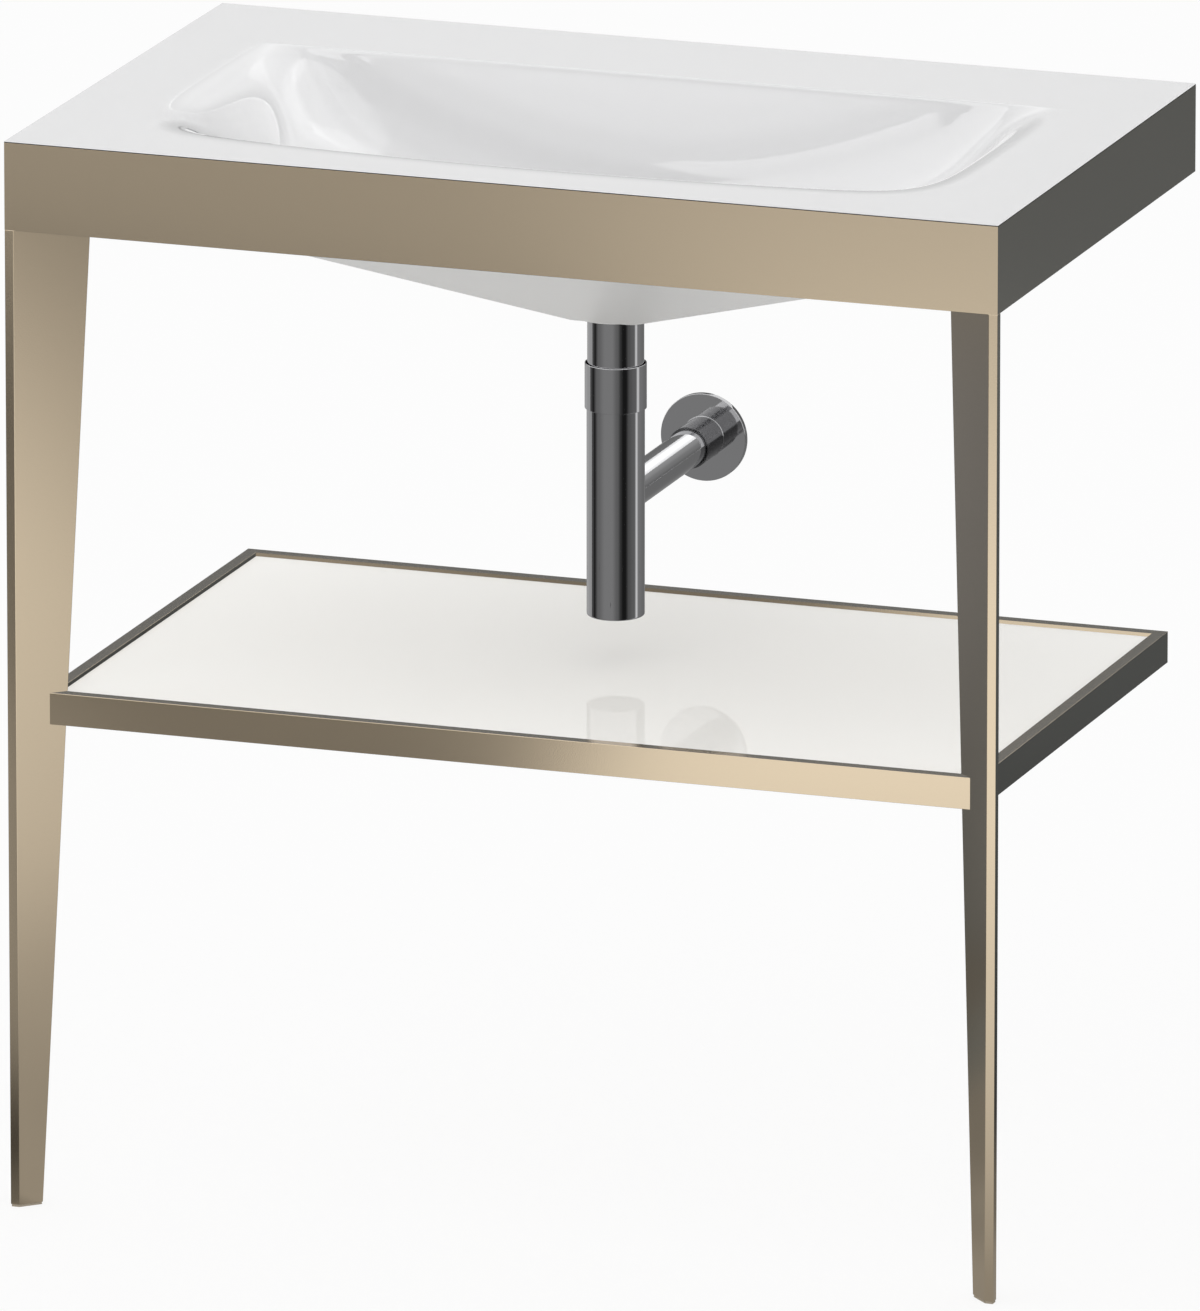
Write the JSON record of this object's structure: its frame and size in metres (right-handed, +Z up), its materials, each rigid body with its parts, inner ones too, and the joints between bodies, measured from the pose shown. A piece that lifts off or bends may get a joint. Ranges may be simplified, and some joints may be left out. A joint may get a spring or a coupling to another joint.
{
  "type": "console washbasin",
  "caption": "Wall-fixed console washbasin: ceramic top with a wide rolled bowl, metal apron, tapered front legs, glass shelf in a bar frame, push-open waste and a chrome trap into the wall.",
  "frame": {"origin": "on the floor, under the middle of the part's whole box with its wall pipe", "axes": "+X to the right seen from the front, +Y into the wall, +Z up; the wall's face is at y = 0.22"},
  "size_m": [0.8, 0.52, 0.847],
  "materials": {
    "glaze": "white gloss glaze",
    "sealant": "dark adhesive line",
    "champagne_metal": "satin champagne",
    "steel": "plain zinc",
    "white_glass": "white back-painted gloss",
    "rubber": "matte",
    "glide": "matte",
    "plastic": "moulded",
    "chrome": "polished"
  },
  "bodies": {
    "console": {"basin": "glaze", "bond_bead": "sealant", "apron_front": "champagne_metal", "apron_left": "champagne_metal", "apron_right": "champagne_metal", "apron_back_rail": "champagne_metal", "leg_left": "champagne_metal", "leg_right": "champagne_metal", "leg_head_left": "champagne_metal", "leg_head_right": "champagne_metal", "corner_block_left": "champagne_metal", "corner_block_right": "champagne_metal", "shelf_front_rail": "champagne_metal", "shelf_rail_left": "champagne_metal", "shelf_rail_right": "champagne_metal", "shelf_back_rail": "champagne_metal", "glass_tabs": "champagne_metal", "back_cleat_left": "steel", "back_cleat_right": "steel", "cleat_screws": "steel", "leg_screws": "steel", "head_screws": "steel", "shelf_glass": "white_glass", "glass_pads": "rubber", "waste_seal": "rubber", "waste_gasket": "rubber", "collar_seal": "rubber", "dip_tube_seal": "rubber", "foot_glide_left": "glide", "foot_glide_right": "glide", "waste_nut": "plastic", "plug_cartridge": "plastic", "dip_tube": "plastic", "waste_body": "chrome", "upper_sleeve": "chrome", "trap_body": "chrome", "wall_pipe": "chrome"},
    "plug": {"plug_cap": "chrome", "plug_seal": "rubber", "plug_stem": "chrome"},
    "rosette": {"rosette": "chrome", "rosette_ring": "rubber"},
    "collar": {"collar": "chrome"}
  },
  "joints": [
    {"name": "plug_push", "type": "slide", "parent": "console", "child": "plug", "axis": [0, 0, 1], "range_m": [-0.009, 0]},
    {"name": "rosette_slide", "type": "slide", "parent": "console", "child": "rosette", "axis": [0, -1, 0], "range_m": [0, 0.1]},
    {"name": "collar_turn", "type": "hinge", "parent": "console", "child": "collar", "pos_m": [0, 0.01, 0.624], "axis": [0, 0, 1], "continuous": true}
  ]
}
